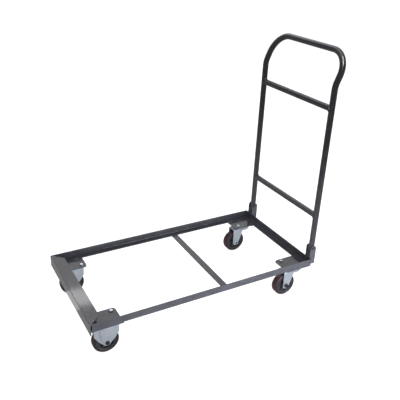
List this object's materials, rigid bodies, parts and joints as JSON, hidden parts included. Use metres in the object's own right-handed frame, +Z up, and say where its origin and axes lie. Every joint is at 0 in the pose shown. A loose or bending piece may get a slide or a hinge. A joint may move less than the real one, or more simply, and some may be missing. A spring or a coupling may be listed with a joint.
{
  "type": "folding platform cart",
  "caption": "Open angle-frame platform cart with two fixed and two swivel casters and a tubular push handle that folds down over the frame.",
  "frame": {"origin": "bottom centre of the whole cart, on the floor under the wheels", "axes": "+X from the nose to the handle, +Y across the cart to the far side, +Z up"},
  "size_m": [1.098, 0.52, 1.0788],
  "materials": {
    "graphite_paint": "gloss enamel, dark graphite grey",
    "zinc": "bright zinc plate",
    "plain_steel": "plain turned steel",
    "maroon_tread": "satin, dark wine red",
    "dark_core": "moulded, dark grey",
    "black_plastic": "moulded, black"
  },
  "bodies": {
    "frame": {"axle_bolt_nose_far": "zinc", "axle_bolt_nose_near": "zinc", "axle_nut_nose_far": "zinc", "axle_nut_nose_near": "zinc", "axle_sleeve_nose_far": "plain_steel", "axle_sleeve_nose_near": "plain_steel", "caster_bolts": "zinc", "caster_nuts": "zinc", "caster_washers": "zinc", "cross_member": "graphite_paint", "flush_bolts": "graphite_paint", "handle_bracket_far": "graphite_paint", "handle_bracket_near": "graphite_paint", "handle_end_rail": "graphite_paint", "handle_gusset_far": "graphite_paint", "handle_gusset_near": "graphite_paint", "kingpin_far": "zinc", "kingpin_near": "zinc", "kingpin_nut_far": "zinc", "kingpin_nut_near": "zinc", "nose_angle": "graphite_paint", "nose_gusset_far": "graphite_paint", "nose_gusset_near": "graphite_paint", "pivot_bolt_far": "graphite_paint", "pivot_bolt_near": "graphite_paint", "pivot_nut_far": "graphite_paint", "pivot_nut_near": "graphite_paint", "rigid_bracket_far": "zinc", "rigid_bracket_near": "zinc", "side_rail_far": "graphite_paint", "side_rail_near": "graphite_paint", "swivel_plate_far": "zinc", "swivel_plate_near": "zinc"},
    "handle": {"handle_tube": "graphite_paint", "upper_crossbar": "graphite_paint", "lower_crossbar": "graphite_paint", "pivot_bushes": "plain_steel", "post_plugs": "black_plastic"},
    "swivel_near": {"swivel_fork_near": "zinc", "race_balls_near": "plain_steel", "axle_sleeve_handle_near": "plain_steel", "axle_bolt_handle_near": "zinc", "axle_nut_handle_near": "zinc"},
    "swivel_far": {"swivel_fork_far": "zinc", "race_balls_far": "plain_steel", "axle_sleeve_handle_far": "plain_steel", "axle_bolt_handle_far": "zinc", "axle_nut_handle_far": "zinc"},
    "wheel_nose_near": {"tyre_nose_near": "maroon_tread", "wheel_core_nose_near": "dark_core", "wheel_bush_nose_near": "black_plastic"},
    "wheel_nose_far": {"tyre_nose_far": "maroon_tread", "wheel_core_nose_far": "dark_core", "wheel_bush_nose_far": "black_plastic"},
    "wheel_handle_near": {"tyre_handle_near": "maroon_tread", "wheel_core_handle_near": "dark_core", "wheel_bush_handle_near": "black_plastic"},
    "wheel_handle_far": {"tyre_handle_far": "maroon_tread", "wheel_core_handle_far": "dark_core", "wheel_bush_handle_far": "black_plastic"}
  },
  "joints": [
    {"name": "handle_fold", "type": "hinge", "parent": "frame", "child": "handle", "pos_m": [0.485, 0, 0.218], "axis": [0, -1, 0], "range_deg": [0, 90]},
    {"name": "swivel_near_turn", "type": "hinge", "parent": "frame", "child": "swivel_near", "pos_m": [0.407, -0.21, 0.131], "axis": [0, 0, 1], "continuous": true},
    {"name": "swivel_far_turn", "type": "hinge", "parent": "frame", "child": "swivel_far", "pos_m": [0.407, 0.21, 0.131], "axis": [0, 0, 1], "continuous": true},
    {"name": "wheel_nose_near_spin", "type": "hinge", "parent": "frame", "child": "wheel_nose_near", "pos_m": [-0.478, -0.21, 0.053], "axis": [0, 1, 0], "continuous": true},
    {"name": "wheel_nose_far_spin", "type": "hinge", "parent": "frame", "child": "wheel_nose_far", "pos_m": [-0.478, 0.21, 0.053], "axis": [0, 1, 0], "continuous": true},
    {"name": "wheel_handle_near_spin", "type": "hinge", "parent": "swivel_near", "child": "wheel_handle_near", "pos_m": [0.365, -0.21, 0.053], "axis": [0, 1, 0], "continuous": true},
    {"name": "wheel_handle_far_spin", "type": "hinge", "parent": "swivel_far", "child": "wheel_handle_far", "pos_m": [0.365, 0.21, 0.053], "axis": [0, 1, 0], "continuous": true}
  ]
}
